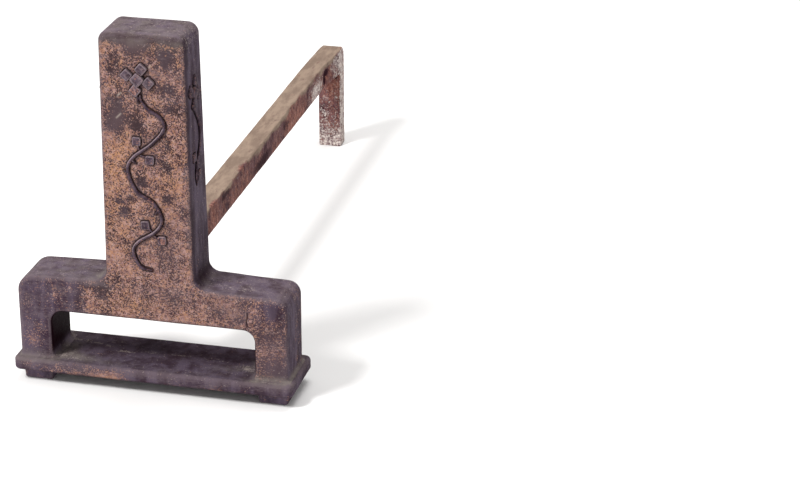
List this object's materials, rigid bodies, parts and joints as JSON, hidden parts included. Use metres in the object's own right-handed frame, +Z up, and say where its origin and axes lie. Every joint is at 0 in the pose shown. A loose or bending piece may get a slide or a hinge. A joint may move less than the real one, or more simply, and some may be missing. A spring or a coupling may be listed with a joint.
{
  "type": "andiron",
  "caption": "Andiron with a hollow cast-iron pillar, a bridge on a footed base plate, flower-and-vine relief, and a wrought billet bar that turns down into a rear leg.",
  "frame": {"origin": "on the hearth, at the centre of the whole andiron's bounding box", "axes": "+X to the right seen from the front, +Y to the back along the billet bar, +Z up"},
  "size_m": [0.3076, 0.762, 0.3975],
  "materials": {
    "pillar_iron": "copper-brown speckled over dark purplish-grey patina",
    "plate_iron": "dark patina with dusty beige-grey upper edges",
    "foot_iron": "dark patina",
    "relief_iron": "dark grey patina, worn pale on its upper edges",
    "bar_iron": "red-brown rust on the sides, ash-grey on top",
    "fastener_iron": "dark rusted iron"
  },
  "bodies": {
    "root": {"front_standard": "pillar_iron", "base_plate": "plate_iron", "left_foot": "foot_iron", "right_foot": "foot_iron", "plate_screws": "fastener_iron", "billet_bar": "bar_iron", "bar_bolts": "fastener_iron", "bar_washers": "fastener_iron", "bar_nuts": "fastener_iron", "front_flower_boss": "relief_iron", "front_flower_petals": "relief_iron", "front_vine_stem": "relief_iron", "front_vine_leaves": "relief_iron", "right_flower_boss": "relief_iron", "right_flower_petals": "relief_iron", "right_vine_stem": "relief_iron", "right_vine_leaves": "relief_iron", "left_flower_boss": "relief_iron", "left_flower_petals": "relief_iron", "left_vine_stem": "relief_iron", "left_vine_leaves": "relief_iron"}
  },
  "joints": []
}
